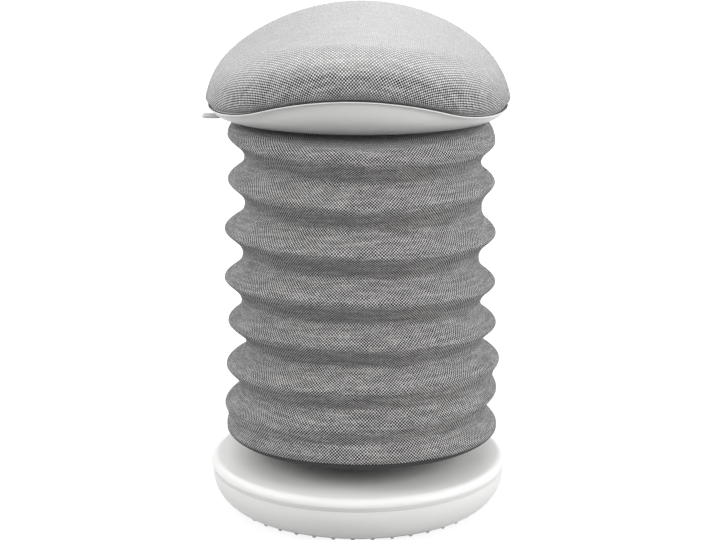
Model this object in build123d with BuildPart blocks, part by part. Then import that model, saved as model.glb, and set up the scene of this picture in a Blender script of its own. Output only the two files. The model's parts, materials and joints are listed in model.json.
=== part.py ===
from build123d import *

import os
from math import asin, atan, cos, degrees, hypot, radians, sin, sqrt

# Height-adjustable office stool. Millimetres, +Z up, the floor at z = 0 and the column on the Z axis.
# The sitter faces -Y. The seat stands at the top of its travel.

# Weighted base
base_radius = 180.0
base_tuck = 1.6
base_edge_radius = 43.0
base_side_height = 9.0
base_wall = 4.0
base_seam_drop = 5.5
base_seam_gap = 0.3
cover_edge_radius = 9.5
cover_dome_rise = 4.0
cover_bulge = 1.0
column_opening_radius = 33.0
sole_thickness = 4.0
sole_wrap_angle = 34.0
nub_angle = 21.0
nub_count = 40
nub_radius = 2.8
nub_tip_radius = 1.7
nub_height = 1.8
nub_root = 1.0
tread_radii = (34.0, 64.0, 94.0)
tread_width = 4.0
tread_depth = 1.5
plate_gap = 4.0
plate_thickness = 6.0
plate_hole_radius = 14.0
ballast_inner_radius = 42.0
ballast_height = 18.0
ballast_bolt_count = 4
ballast_bolt_depth = 3.0
ballast_chamfer = 3.0
cover_post_count = 6
cover_post_inset = 14.0
cover_post_radius = 6.0
cover_screw_length = 20.0

# Gas column
seat_travel = 130.0
hub_radius = 32.0
hub_height = 46.0
hub_foot_width = 6.0
hub_foot_height = 10.0
collar_brim = 7.0
collar_brim_height = 3.0
collar_brim_slope = 2.0
collar_height = 7.0
collar_wall = 3.0
column_radius = 25.0
column_foot_radius = 24.0
column_wall = 2.5
column_floor = 4.0
column_headroom = 10.5
bush_length = 86.0
bush_flange = 4.0
bush_chamfer = 1.5
rod_radius = 5.0
rod_tail = 1.9
rod_chamfer = 1.0
washer_radius = 12.0
washer_thickness = 2.0
clip_radius = 9.0
clip_thickness = 2.0
clip_mouth = 5.0
race_radius = 15.0
race_thickness = 2.0
ball_radius = 1.5
ball_ring = 11.0
ball_count = 10
cage_half_width = 2.5
cage_thickness = 1.0
bump_stop_radius = 11.0
bump_stop_height = 31.0
bump_stop_chamfer = 3.0
bump_stop_gap = 2.0
gas_tube_radius = 14.0
gas_tube_tip_radius = 13.0
gas_tube_bore = 11.5
seal_length = 12.0
piston_length = 10.0
piston_gap = 1.0
valve_plug_length = 22.0
release_pin_radius = 4.0
release_pin_length = 24.0
release_pin_proud = 5.0

# Seat
seat_half_width = 183.0
seat_half_depth = 177.0
seat_rim_z = 538.0
seat_bend_share = 1.64
rim_hump_share = 0.60
rim_flare_share = 1.43
rim_flare_end = 1.5
cushion_thickness = 64.5
cushion_crown_radius = 2600.0
cushion_top_round = 34.0
cushion_bottom_round = 14.0
cover_thickness = 1.5
cover_hem = 12.0
board_margin = 4.0
board_thickness = 8.0
board_screw_grip = 7.0
shell_depth = 59.5
shell_wall = 4.0
shell_floor_half_width = 106.0
shell_floor_margin = 5.0
shell_rim_inset = 5.0
shell_rises = (0.0, 3.5, 9.5, 22.0, 42.0, 66.5)
shell_width_shares = (0.825, 0.945, 1.0, 1.005, 1.01)
shell_depth_shares = (0.55, 0.70, 0.86, 0.955, 1.01)
shell_post_x = 84.0
shell_post_y = 44.0
shell_post_radius = 7.0
shell_screw_sink = 3.0
seat_plate_margin = 20.0
seat_plate_thickness = 4.0
seat_plate_corner = 10.0
seat_bolt_spread = 35.0
socket_radius = 20.0
socket_below_plate = 48.0
socket_above_plate = 5.0
socket_lip = 2.0
socket_chamfer = 2.0

# Release lever
lever_pivot_x = -60.0
lever_width = 10.0
lever_thickness = 3.0
lever_boss_radius = 6.5
lever_pin_radius = 3.0
lever_overhang = 4.0
lever_tip_rise = 4.5
lever_inner_end = 9.0
lever_flat_run = 12.0
lever_slope_run = 19.0
lever_slope_rise = 5.5
grip_length = 23.0
grip_width = 13.0
grip_thickness = 4.6
grip_nose = 9.0
grip_corner = 5.0
grip_edge = 1.6
notch_end_gap = 7.0
notch_side_gap = 4.0
notch_height = 30.0
bracket_wall = 3.0
bracket_half_length = 13.0
bracket_offset = 14.0
pivot_head = 2.0

# Bellows, its hoops counted from the lowest
bellows_radius = 165.0
level_shares = (0.0226, 0.117, 0.230, 0.361, 0.4965, 0.657, 0.8175, 0.953)
tilt_shares = (0.0, 0.112, 0.044, -0.012, -0.030, -0.030, -0.026, -0.057)
lean_shares = (0.0, 0.012, 0.048, 0.073, 0.097, 0.042, 0.0, 0.0)
sway_shares = (0.028, 0.020, 0.036, 0.031, 0.014, 0.016, 0.025, 0.025)
ridge_shares = (1.002, 1.008, 1.0, 0.989, 0.997, 0.986, 0.974, 0.973)
valley_shares = (0.960, 0.933, 0.871, 0.881, 0.862, 0.862, 0.863)
ridge_half = 2.2
valley_power = 2.2
valley_rows = 5
hoop_tube_radius = 1.75
sleeve_thickness = 2.0
sleeve_base_gap = 27.0
sleeve_bottom_inset = 12.0
sleeve_hem_width = 27.0
sleeve_shoulder = 19.0
hanger_bolt_gap = 1.5
hanger_width = 10.0
hanger_thickness = 5.0
hanger_screw_count = 6
hanger_screw_grip = 2.5

# Fits and small hardware
running_clearance = 0.05
screw_clearance = 0.10
screw_end_room = 0.5
rod_hole_clearance = 0.5
collar_clearance = 0.3
socket_clearance = 1.0
clip_clearance = 0.1
hoop_clearance = 0.40
sleeve_clearance = 0.30
lever_side_gap = 1.0
lever_pin_gap = 0.25
small_screw_radius = 2.0
small_head_radius = 4.0
small_head_height = 2.5
bolt_radius = 4.0
bolt_head_radius = 7.0
bolt_head_height = 5.0
nut_radius = 7.5
nut_height = 6.5
bolt_end = 2.5
trim_margin = 20.0
crown_margin_angle = 10.0

# Levels and radii that follow from the sizes above
foot_radius = base_radius - base_tuck - base_edge_radius
cover_post_ring = foot_radius - cover_post_inset
plate_radius = cover_post_ring - cover_post_radius - plate_gap
ballast_bolt_ring = (ballast_inner_radius + plate_radius) / 2
edge_z = base_edge_radius
widest_z = edge_z + base_side_height
seam_z = widest_z - base_seam_drop
cover_edge_z = widest_z + cover_edge_radius
cover_top_z = cover_edge_z + cover_dome_rise
floor_z = sole_thickness + base_wall
plate_top_z = floor_z + plate_thickness
ballast_top_z = plate_top_z + ballast_height
hub_top_z = plate_top_z + hub_height
column_bottom_z = plate_top_z + washer_thickness
column_bore = column_radius - column_wall
column_floor_z = column_bottom_z + column_floor
rod_hole_radius = rod_radius + rod_hole_clearance
rod_bottom_z = plate_top_z - clip_clearance - clip_thickness - rod_tail
ball_bottom_z = column_floor_z + race_thickness + running_clearance
upper_race_z = ball_bottom_z + 2 * ball_radius + running_clearance
bump_stop_z = upper_race_z + race_thickness
bump_stop_top_z = bump_stop_z + bump_stop_height
gas_tube_bottom_z = bump_stop_top_z + bump_stop_gap + seat_travel
piston_z = gas_tube_bottom_z + seal_length + piston_gap
rod_top_z = piston_z + piston_length
seat_bend_radius = seat_bend_share * seat_half_width
rim_flare_radius = rim_flare_share * seat_half_width
rim_bend_z = seat_rim_z - seat_bend_radius
rim_bend_angle = degrees(asin(rim_hump_share / seat_bend_share))
cushion_top_z = seat_rim_z + cushion_thickness
cushion_axis_z = cushion_top_z - seat_bend_radius
cushion_axis = Axis((0, 0, cushion_axis_z), (0, 1, 0))
seat_reach = seat_half_depth + trim_margin
crown_half_angle = degrees(asin(seat_half_width / seat_bend_radius)) + crown_margin_angle
board_half_width = seat_half_width - cushion_bottom_round - board_margin
board_half_depth = seat_half_depth - cushion_bottom_round - board_margin
board_low = cover_thickness
board_high = board_low + board_thickness
post_top_z = rim_bend_z + sqrt((seat_bend_radius + board_low) ** 2 - shell_post_x**2)
shell_floor_z = seat_rim_z - shell_depth
plate_low_z = shell_floor_z + shell_wall
plate_high_z = plate_low_z + seat_plate_thickness
socket_bottom_z = plate_low_z - socket_below_plate
socket_top_z = plate_high_z + socket_above_plate
column_top_z = socket_bottom_z - seat_travel - bush_flange - column_headroom
gas_tube_top_z = socket_top_z - socket_lip
release_pin_top_z = gas_tube_top_z + release_pin_proud
lever_low_z = release_pin_top_z + lever_pin_gap
lever_z = lever_low_z + lever_thickness / 2
lever_tip_x = -seat_half_width - lever_overhang
lever_tip_z = shell_floor_z + lever_tip_rise
lever_notch_x = lever_tip_x + grip_length + lever_slope_run + notch_end_gap
sleeve_top_z = shell_floor_z - sleeve_clearance
sleeve_bottom_z = cover_top_z + sleeve_base_gap
sleeve_bottom_radius = bellows_radius - sleeve_bottom_inset
sleeve_hem_radius = sleeve_bottom_radius - sleeve_hem_width
sleeve_shoulder_radius = bellows_radius - sleeve_shoulder
hoop_levels = [sleeve_bottom_z + share * (sleeve_top_z - sleeve_bottom_z) for share in level_shares]
hoop_rises = [share * bellows_radius for share in tilt_shares]
hoop_leans = [share * bellows_radius for share in lean_shares]
hoop_sways = [share * bellows_radius for share in sway_shares]
ridge_radii = [share * bellows_radius for share in ridge_shares]
valley_radii = [share * bellows_radius for share in valley_shares]
flange_low_z = sleeve_top_z - sleeve_thickness
hanger_low_z = flange_low_z - hanger_thickness
hanger_inner_radius = hypot(seat_bolt_spread, seat_bolt_spread) + bolt_head_radius + hanger_bolt_gap
hanger_outer_radius = hanger_inner_radius + hanger_width
hanger_screw_ring = (hanger_inner_radius + hanger_outer_radius) / 2
seat_plate_half = seat_bolt_spread + seat_plate_margin
shell_floor_half_depth = hanger_outer_radius + shell_floor_margin
post_grid_x = 2 * shell_post_x
post_grid_y = 2 * shell_post_y

FROM_BOTTOM = (Align.CENTER, Align.CENTER, Align.MIN)

os.makedirs("parts", exist_ok=True)


def column_outer(z):
    """Radius of the column's tapered foot at a level."""
    share = (z - column_bottom_z) / (hub_top_z - column_bottom_z)
    return column_foot_radius + (column_radius - column_foot_radius) * share


def gas_tube_outer(z):
    """Radius of the gas tube's tapered tip at a level."""
    share = (z - socket_bottom_z) / (gas_tube_top_z - socket_bottom_z)
    return gas_tube_radius + (gas_tube_tip_radius - gas_tube_radius) * share


def half_section(*corners):
    """Closed outline in the XZ plane, for turning about the column's axis."""
    with BuildSketch(Plane.XZ) as section:
        with BuildLine():
            Polyline(*corners, close=True)
        make_face()
    return section.sketch


def tube_section(outer, inner, low, high):
    """Rectangular half section of a straight tube."""
    return half_section((inner, low), (outer, low), (outer, high), (inner, high))


def bowl_section(inset, top):
    """Half section of the base's round-edged bowl, inset from its outside."""
    radius = base_edge_radius - inset
    sweep = 90 + degrees(asin((top - edge_z) / radius))
    with BuildSketch(Plane.XZ) as section:
        with BuildLine():
            edge = CenterArc((foot_radius, edge_z), radius, -90, sweep)
            Polyline(edge @ 1, (0, top), (0, inset), edge @ 0)
        make_face()
    return section.sketch


def sole_section():
    """Half section of the sole: a flat disc that wraps up round the bowl's edge."""
    centre = (foot_radius, edge_z)
    with BuildSketch(Plane.XZ) as section:
        with BuildLine():
            under = CenterArc(centre, base_edge_radius, -90, sole_wrap_angle)
            bond = CenterArc(centre, base_edge_radius - sole_thickness, -90, sole_wrap_angle)
            Line(under @ 1, bond @ 1)
            Polyline(bond @ 0, (0, sole_thickness), (0, 0), under @ 0)
        make_face()
    return section.sketch


def cover_section():
    """Half section of the base's top cover: side, rounded edge and shallow dome."""
    seam = seam_z + base_seam_gap
    side = foot_radius + sqrt(base_edge_radius**2 - (seam - edge_z) ** 2)
    edge_x = base_radius - cover_edge_radius
    middle_x = (edge_x + column_opening_radius) / 2
    middle_z = cover_edge_z + cover_dome_rise / 2 + cover_bulge
    with BuildSketch(Plane.XZ) as section:
        with BuildLine():
            low = Line((side, seam), (base_radius, widest_z))
            turn = CenterArc((edge_x, widest_z), cover_edge_radius, 0, 90)
            dome = ThreePointArc(turn @ 1, (middle_x, middle_z), (column_opening_radius, cover_top_z))
            drop = Line(dome @ 1, (column_opening_radius, cover_top_z - base_wall))
            under_middle = (middle_x, middle_z - base_wall)
            under = ThreePointArc(drop @ 1, under_middle, (edge_x, cover_edge_z - base_wall))
            inside = CenterArc((edge_x, widest_z), cover_edge_radius - base_wall, 90, -90)
            Polyline(inside @ 1, (side - base_wall, seam), low @ 0)
        make_face()
    return section.sketch


def bend_region(low, high):
    """Region between two lines parallel to the seat's bend: a hump between two flared sides."""
    turn = radians(rim_bend_angle)
    reach = seat_bend_radius + rim_flare_radius
    flare_z = rim_bend_z + reach * cos(turn)
    sweep = rim_bend_angle - rim_flare_end
    with BuildSketch(Plane.XZ) as region:
        with BuildLine():
            ends = []
            for offset in (low, high):
                CenterArc((0, rim_bend_z), seat_bend_radius + offset, 90 - rim_bend_angle, 2 * rim_bend_angle)
                flare = rim_flare_radius - offset
                right = CenterArc((reach * sin(turn), flare_z), flare, 270 - rim_bend_angle, sweep)
                left = CenterArc((-reach * sin(turn), flare_z), flare, 270 + rim_bend_angle, -sweep)
                ends.append((left @ 1, right @ 1))
            Line(ends[0][0], ends[1][0])
            Line(ends[0][1], ends[1][1])
        make_face()
    return region.sketch


def crown_section(high):
    """Front-to-back section under the cushion's crowned top, measured from the top's bend axis."""
    turn = radians(-crown_half_angle)
    start = Plane(origin=(0, 0, cushion_axis_z), x_dir=(0, 1, 0), z_dir=(cos(turn), 0, -sin(turn)))
    fall = cushion_crown_radius - sqrt(cushion_crown_radius**2 - seat_reach**2)
    low = seat_bend_radius / 3
    with BuildSketch(start) as section:
        with BuildLine():
            side = high - fall
            Polyline((-seat_reach, side), (-seat_reach, low), (seat_reach, low), (seat_reach, side))
            ThreePointArc((seat_reach, side), (0, high), (-seat_reach, side))
        make_face()
    return section.sketch


def cushion_solid(inset):
    """Bent, crowned and round-edged body of the seat cushion, inset from its outside."""
    with BuildPart() as body:
        extrude(bend_region(inset, 2 * cushion_thickness), amount=seat_reach, both=True)
        revolve(
            crown_section(seat_bend_radius - inset),
            axis=cushion_axis,
            revolution_arc=2 * crown_half_angle,
            mode=Mode.INTERSECT,
        )
        with BuildSketch(Plane.XY.offset(cushion_axis_z)):
            Ellipse(seat_half_width - inset, seat_half_depth - inset)
        extrude(amount=2 * seat_bend_radius, mode=Mode.INTERSECT)
        above = seat_bend_radius - cushion_thickness / 4
        rim = [e for e in body.edges() if on_side(e, seat_half_width - inset, seat_half_depth - inset)]
        top = [e for e in rim if axis_distance(e) > above]
        bottom = [e for e in rim if axis_distance(e) < above]
        fillet(top, cushion_top_round - inset)
        fillet(bottom, cushion_bottom_round - inset)
    return body.part


def on_side(edge, half_width, half_depth):
    """Whether a curved edge lies on the upright side of an elliptical body."""
    spots = [edge.position_at(share) for share in (0.0, 0.5, 1.0)]
    shares = [(spot.X / half_width) ** 2 + (spot.Y / half_depth) ** 2 for spot in spots]
    return edge.geom_type != GeomType.LINE and min(shares) > 0.99


def axis_distance(edge):
    """Distance from the top's bend axis to the middle of an edge, its crown's fall added back."""
    middle = edge.position_at(0.5)
    fall = cushion_crown_radius - sqrt(cushion_crown_radius**2 - middle.Y**2)
    return hypot(middle.X, middle.Z - cushion_axis_z) + fall


def shell_solid(inset):
    """Seat shell as a solid dish, before its rim is trimmed to the bend."""
    rim_width = seat_half_width - shell_rim_inset
    rim_depth = seat_half_depth - shell_rim_inset
    halves = [(shell_floor_half_width, shell_floor_half_depth)]
    halves += [(w * rim_width, d * rim_depth) for w, d in zip(shell_width_shares, shell_depth_shares)]
    with BuildPart() as body:
        for rise, (half_width, half_depth) in zip(shell_rises, halves):
            with BuildSketch(Plane.XY.offset(shell_floor_z + inset + rise)):
                Ellipse(half_width - inset, half_depth - inset)
        loft()
    return body.part


def post_solid():
    """Four posts that rise from the shell's floor to the underside of the board."""
    with BuildPart() as body:
        with GridLocations(post_grid_x, post_grid_y, 2, 2):
            with Locations((0, 0, shell_floor_z)):
                Cylinder(shell_post_radius, seat_rim_z - shell_floor_z, align=FROM_BOTTOM)
        above = bend_region(board_low, 2 * cushion_thickness)
        extrude(above, amount=seat_reach, both=True, mode=Mode.SUBTRACT)
    return body.part


def board_solid():
    """Seat board before it is drilled."""
    with BuildPart() as body:
        extrude(bend_region(board_low, board_high), amount=seat_reach, both=True)
        with BuildSketch(Plane.XY.offset(shell_floor_z)):
            Ellipse(board_half_width, board_half_depth)
        extrude(amount=2 * cushion_thickness, mode=Mode.INTERSECT)
    return body.part


def tilted(level, rise, lean, sway, radius):
    """Plane of a bellows ring set off to the right, its right and front sides higher by a rise and a lean."""
    tilt = atan(rise / (2 * radius))
    back = atan(lean / (2 * radius))
    return Plane(
        origin=(sway, 0, level),
        x_dir=(cos(tilt), 0, sin(tilt)),
        z_dir=(-sin(tilt) * cos(back), cos(tilt) * sin(back), cos(tilt) * cos(back)),
    )


def valley_rings(k):
    """Rings of the sleeve where it is drawn in between one hoop and the next."""
    low = hoop_levels[k] + ridge_half
    high = hoop_levels[k + 1] - ridge_half
    rings = []
    for row in range(1, valley_rows + 1):
        share = row / (valley_rows + 1)
        ridge = ridge_radii[k] + share * (ridge_radii[k + 1] - ridge_radii[k])
        rise = hoop_rises[k] + share * (hoop_rises[k + 1] - hoop_rises[k])
        lean = hoop_leans[k] + share * (hoop_leans[k + 1] - hoop_leans[k])
        sway = hoop_sways[k] + share * (hoop_sways[k + 1] - hoop_sways[k])
        drawn = (ridge - valley_radii[k]) * (1 - abs(2 * share - 1) ** valley_power)
        rings.append((low + share * (high - low), rise, lean, sway, ridge - drawn))
    return rings


def sleeve_solid(inset):
    """Bellows as a solid: ridges over the hoops and drawn-in valleys between them."""
    rings = [(sleeve_bottom_z + inset, 0.0, 0.0, hoop_sways[0], sleeve_bottom_radius)]
    last = len(hoop_levels) - 1
    for k, level in enumerate(hoop_levels):
        pose = (hoop_rises[k], hoop_leans[k], hoop_sways[k], ridge_radii[k])
        rings.append((level - ridge_half, *pose))
        rings.append((level + ridge_half, *pose))
        if k < last:
            rings += valley_rings(k)
    rings.append((sleeve_top_z - inset, 0.0, 0.0, hoop_sways[last], sleeve_shoulder_radius))
    with BuildPart() as body:
        for ring in rings:
            with BuildSketch(tilted(*ring)):
                Circle(ring[-1] - inset)
        loft(ruled=True)
    return body.part


cushion_skin = cushion_solid(0.0)
cushion_core = cushion_solid(cover_thickness)
shell_outside = shell_solid(0.0)
shell_inside = shell_solid(shell_wall)
shell_posts = post_solid()
board_blank = board_solid()
sleeve_outside = sleeve_solid(0.0)
sleeve_inside = sleeve_solid(sleeve_thickness)

# Sole: flat underneath with three tread grooves, and a ring of grip nubs round its turned-up edge
nub_turn = radians(nub_angle)
nub_ring = foot_radius + (base_edge_radius - nub_root) * sin(nub_turn)
nub_z = edge_z - (base_edge_radius - nub_root) * cos(nub_turn)
with BuildPart() as grip_sole:
    revolve(sole_section(), axis=Axis.Z)
    for radius in tread_radii:
        groove = tube_section(radius + tread_width, radius, 0.0, tread_depth)
        revolve(groove, axis=Axis.Z, mode=Mode.SUBTRACT)
    with PolarLocations(nub_ring, nub_count):
        with Locations(Location((0, 0, nub_z), (0, 180 - nub_angle, 0))):
            Cone(nub_radius, nub_tip_radius, nub_root + nub_height, align=FROM_BOTTOM)
grip_sole.part.label = "grip_sole"
export_step(grip_sole.part, "parts/grip_sole.step")

# Lower shell: white bowl with a rebate for the sole and blind holes for the ballast bolts
with BuildPart() as base_lower_shell:
    revolve(bowl_section(0.0, seam_z), axis=Axis.Z)
    revolve(bowl_section(floor_z, seam_z), axis=Axis.Z, mode=Mode.SUBTRACT)
    revolve(sole_section(), axis=Axis.Z, mode=Mode.SUBTRACT)
    with PolarLocations(cover_post_ring, cover_post_count):
        with Locations((0, 0, sole_thickness)):
            Cylinder(small_screw_radius + screw_clearance, base_wall, align=FROM_BOTTOM, mode=Mode.SUBTRACT)
            Cylinder(
                small_head_radius + screw_clearance, small_head_height, align=FROM_BOTTOM, mode=Mode.SUBTRACT
            )
    with PolarLocations(ballast_bolt_ring, ballast_bolt_count, start_angle=45):
        with Locations((0, 0, floor_z - ballast_bolt_depth)):
            Cylinder(bolt_radius + screw_clearance, ballast_bolt_depth, align=FROM_BOTTOM, mode=Mode.SUBTRACT)
base_lower_shell.part.label = "base_lower_shell"
export_step(base_lower_shell.part, "parts/base_lower_shell.step")

# Top cover: shallow white dome on six posts that stand on the lower shell's floor
cover_screw_hole = cover_screw_length - base_wall + screw_end_room
with BuildPart() as base_top_cover:
    revolve(cover_section(), axis=Axis.Z)
    with PolarLocations(cover_post_ring, cover_post_count):
        with Locations((0, 0, floor_z)):
            Cylinder(cover_post_radius, cover_edge_z - base_wall / 4 - floor_z, align=FROM_BOTTOM)
            Cylinder(
                small_screw_radius + screw_clearance, cover_screw_hole, align=FROM_BOTTOM, mode=Mode.SUBTRACT
            )
base_top_cover.part.label = "base_top_cover"
export_step(base_top_cover.part, "parts/base_top_cover.step")

# Screws that hold the top cover, their heads behind the sole
with BuildPart() as cover_screws:
    with PolarLocations(cover_post_ring, cover_post_count):
        with Locations((0, 0, sole_thickness)):
            Cylinder(small_head_radius, small_head_height, align=FROM_BOTTOM)
            Cylinder(small_screw_radius, cover_screw_length, align=FROM_BOTTOM)
cover_screws.part.label = "cover_screws"
export_step(cover_screws.part, "parts/cover_screws.step")

# Steel foot plate under the column
with BuildPart() as foot_plate:
    revolve(tube_section(plate_radius, plate_hole_radius, floor_z, plate_top_z), axis=Axis.Z)
    with PolarLocations(ballast_bolt_ring, ballast_bolt_count, start_angle=45):
        with Locations((0, 0, floor_z)):
            Cylinder(bolt_radius + screw_clearance, plate_thickness, align=FROM_BOTTOM, mode=Mode.SUBTRACT)
foot_plate.part.label = "foot_plate"
export_step(foot_plate.part, "parts/foot_plate.step")

# Cast-iron ballast ring
with BuildPart() as ballast_ring:
    revolve(tube_section(plate_radius, ballast_inner_radius, plate_top_z, ballast_top_z), axis=Axis.Z)
    with PolarLocations(ballast_bolt_ring, ballast_bolt_count, start_angle=45):
        with Locations((0, 0, plate_top_z)):
            Cylinder(bolt_radius + screw_clearance, ballast_height, align=FROM_BOTTOM, mode=Mode.SUBTRACT)
    rim_edges = ballast_ring.edges().group_by(Axis.Z)[-1].filter_by(GeomType.CIRCLE)
    chamfer(rim_edges.sort_by(SortBy.RADIUS)[-1], ballast_chamfer)
ballast_ring.part.label = "ballast_ring"
export_step(ballast_ring.part, "parts/ballast_ring.step")

# Bolts through ballast and foot plate into the lower shell
with BuildPart() as ballast_bolts:
    with PolarLocations(ballast_bolt_ring, ballast_bolt_count, start_angle=45):
        with Locations((0, 0, ballast_top_z)):
            Cylinder(bolt_head_radius, bolt_head_height, align=FROM_BOTTOM)
        with Locations((0, 0, floor_z - ballast_bolt_depth)):
            Cylinder(bolt_radius, ballast_top_z - floor_z + ballast_bolt_depth, align=FROM_BOTTOM)
ballast_bolts.part.label = "ballast_bolts"
export_step(ballast_bolts.part, "parts/ballast_bolts.step")

# Hub welded to the foot plate, bored to the column's taper
with BuildPart() as column_hub:
    revolve(
        half_section(
            (column_outer(plate_top_z), plate_top_z),
            (hub_radius + hub_foot_width, plate_top_z),
            (hub_radius, plate_top_z + hub_foot_height),
            (hub_radius, hub_top_z),
            (column_outer(hub_top_z), hub_top_z),
        ),
        axis=Axis.Z,
    )
column_hub.part.label = "column_hub"
export_step(column_hub.part, "parts/column_hub.step")

# Plastic collar that closes the cover round the column
with BuildPart() as column_collar:
    collar_inner = column_radius + collar_clearance
    collar_outer = column_opening_radius - collar_clearance
    brim_outer = column_opening_radius + collar_brim
    revolve(
        half_section(
            (collar_inner, cover_top_z - base_wall),
            (collar_outer, cover_top_z - base_wall),
            (collar_outer, cover_top_z),
            (brim_outer, cover_top_z),
            (brim_outer - collar_brim_slope, cover_top_z + collar_brim_height),
            (collar_inner + collar_wall, cover_top_z + collar_height),
            (collar_inner, cover_top_z + collar_height),
        ),
        axis=Axis.Z,
    )
column_collar.part.label = "column_collar"
export_step(column_collar.part, "parts/column_collar.step")

# Standing tube of the gas column, closed at its foot round the rod
with BuildPart() as column_tube:
    revolve(
        half_section(
            (rod_hole_radius, column_bottom_z),
            (column_foot_radius, column_bottom_z),
            (column_radius, hub_top_z),
            (column_radius, column_top_z),
            (column_bore, column_top_z),
            (column_bore, column_floor_z),
            (rod_hole_radius, column_floor_z),
        ),
        axis=Axis.Z,
    )
column_tube.part.label = "column_tube"
export_step(column_tube.part, "parts/column_tube.step")

# Guide bush in the mouth of the standing tube
with BuildPart() as column_bush:
    bush_bore = gas_tube_radius + running_clearance
    revolve(
        half_section(
            (bush_bore, column_top_z - bush_length),
            (column_bore, column_top_z - bush_length),
            (column_bore, column_top_z),
            (column_radius, column_top_z),
            (column_radius - bush_chamfer, column_top_z + bush_flange),
            (bush_bore, column_top_z + bush_flange),
        ),
        axis=Axis.Z,
    )
column_bush.part.label = "column_bush"
export_step(column_bush.part, "parts/column_bush.step")

# Thrust bearing on the standing tube's floor: fixed race, caged balls, turning race
with BuildPart() as lower_race:
    race_top_z = column_floor_z + race_thickness
    revolve(tube_section(race_radius, rod_hole_radius, column_floor_z, race_top_z), axis=Axis.Z)
lower_race.part.label = "lower_race"
export_step(lower_race.part, "parts/lower_race.step")

with BuildPart() as ball_cage:
    ball_z = ball_bottom_z + ball_radius
    cage_low_z = ball_z - cage_thickness / 2
    cage = tube_section(
        ball_ring + cage_half_width, ball_ring - cage_half_width, cage_low_z, cage_low_z + cage_thickness
    )
    revolve(cage, axis=Axis.Z)
    with PolarLocations(ball_ring, ball_count):
        with Locations((0, 0, ball_z)):
            Sphere(ball_radius)
ball_cage.part.label = "ball_cage"
export_step(ball_cage.part, "parts/ball_cage.step")

with BuildPart() as upper_race:
    revolve(tube_section(race_radius, rod_radius, upper_race_z, bump_stop_z), axis=Axis.Z)
upper_race.part.label = "upper_race"
export_step(upper_race.part, "parts/upper_race.step")

# Washer and spring clip that keep the rod in the standing tube
with BuildPart() as rod_washer:
    revolve(tube_section(washer_radius, rod_hole_radius, plate_top_z, column_bottom_z), axis=Axis.Z)
rod_washer.part.label = "rod_washer"
export_step(rod_washer.part, "parts/rod_washer.step")

with BuildPart() as rod_clip:
    clip_top_z = plate_top_z - clip_clearance
    clip_low_z = clip_top_z - clip_thickness
    revolve(tube_section(clip_radius, rod_radius, clip_low_z, clip_top_z), axis=Axis.Z)
    with Locations((0, 0, clip_low_z)):
        Box(
            clip_mouth,
            clip_radius,
            clip_thickness,
            align=(Align.CENTER, Align.MIN, Align.MIN),
            mode=Mode.SUBTRACT,
        )
rod_clip.part.label = "rod_clip"
export_step(rod_clip.part, "parts/rod_clip.step")

# Piston rod, which turns with the seat
with BuildPart() as piston_rod:
    with Locations((0, 0, rod_bottom_z)):
        Cylinder(rod_radius, rod_top_z - rod_bottom_z, align=FROM_BOTTOM)
    chamfer(piston_rod.edges().group_by(Axis.Z)[0], rod_chamfer)
piston_rod.part.label = "piston_rod"
export_step(piston_rod.part, "parts/piston_rod.step")

# Rubber bump stop at the bottom of the travel
with BuildPart() as bump_stop:
    revolve(
        half_section(
            (rod_radius, bump_stop_z),
            (bump_stop_radius, bump_stop_z),
            (bump_stop_radius, bump_stop_top_z - bump_stop_chamfer),
            (bump_stop_radius - bump_stop_chamfer, bump_stop_top_z),
            (rod_radius, bump_stop_top_z),
        ),
        axis=Axis.Z,
    )
bump_stop.part.label = "bump_stop"
export_step(bump_stop.part, "parts/bump_stop.step")

# Piston at the rod's upper end
with BuildPart() as piston:
    revolve(tube_section(gas_tube_bore - running_clearance, rod_radius, piston_z, rod_top_z), axis=Axis.Z)
piston.part.label = "piston"
export_step(piston.part, "parts/piston.step")

# Pressure tube, which slides with the seat, and the seal and valve plug that close it
with BuildPart() as gas_tube:
    revolve(
        half_section(
            (gas_tube_bore, gas_tube_bottom_z),
            (gas_tube_radius, gas_tube_bottom_z),
            (gas_tube_radius, socket_bottom_z),
            (gas_tube_tip_radius, gas_tube_top_z),
            (gas_tube_bore, gas_tube_top_z),
        ),
        axis=Axis.Z,
    )
gas_tube.part.label = "gas_tube"
export_step(gas_tube.part, "parts/gas_tube.step")

with BuildPart() as rod_seal:
    seal_top_z = gas_tube_bottom_z + seal_length
    seal_bore = rod_radius + running_clearance
    revolve(tube_section(gas_tube_bore, seal_bore, gas_tube_bottom_z, seal_top_z), axis=Axis.Z)
rod_seal.part.label = "rod_seal"
export_step(rod_seal.part, "parts/rod_seal.step")

with BuildPart() as valve_plug:
    plug_low_z = gas_tube_top_z - valve_plug_length
    revolve(
        tube_section(gas_tube_bore, release_pin_radius + running_clearance, plug_low_z, gas_tube_top_z),
        axis=Axis.Z,
    )
valve_plug.part.label = "valve_plug"
export_step(valve_plug.part, "parts/valve_plug.step")

# Release pin that the lever presses
with BuildPart() as release_pin:
    with Locations((0, 0, release_pin_top_z - release_pin_length)):
        Cylinder(release_pin_radius, release_pin_length, align=FROM_BOTTOM)
release_pin.part.label = "release_pin"
export_step(release_pin.part, "parts/release_pin.step")

# Taper socket, welded through the seat plate
with BuildPart() as taper_socket:
    revolve(
        half_section(
            (gas_tube_outer(socket_bottom_z), socket_bottom_z),
            (socket_radius - socket_chamfer, socket_bottom_z),
            (socket_radius, socket_bottom_z + socket_chamfer),
            (socket_radius, socket_top_z),
            (gas_tube_outer(socket_top_z), socket_top_z),
        ),
        axis=Axis.Z,
    )
taper_socket.part.label = "taper_socket"
export_step(taper_socket.part, "parts/taper_socket.step")

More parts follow.
